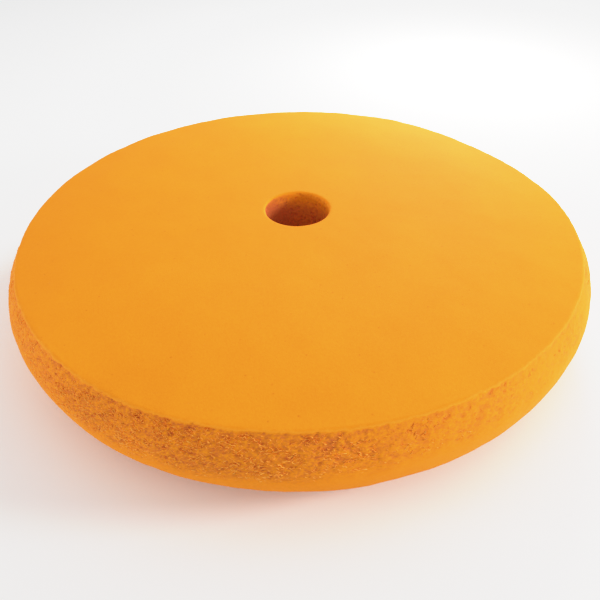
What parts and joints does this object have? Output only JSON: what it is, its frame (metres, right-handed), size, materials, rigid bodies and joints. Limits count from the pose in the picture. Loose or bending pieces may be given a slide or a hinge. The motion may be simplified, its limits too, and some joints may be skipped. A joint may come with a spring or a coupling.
{
  "type": "foam polishing pad",
  "caption": "Round open-cell foam polishing pad with a punched centre hole, a torn-cell side and a hook-and-loop backing, for a machine polisher's backing plate.",
  "frame": {"origin": "centre of the underside of the loop pile, on the pad's axis", "axes": "+Z along the pad's axis and out of the working face, X and Y across the pad"},
  "size_m": [0.16, 0.16, 0.026],
  "materials": {
    "foam": "matte",
    "adhesive": "satin",
    "knit": "matte",
    "loops": "matte"
  },
  "bodies": {
    "root": {"foam_body": "foam", "adhesive_film": "adhesive", "backing_fabric": "knit", "loop_pile": "loops"}
  },
  "joints": []
}
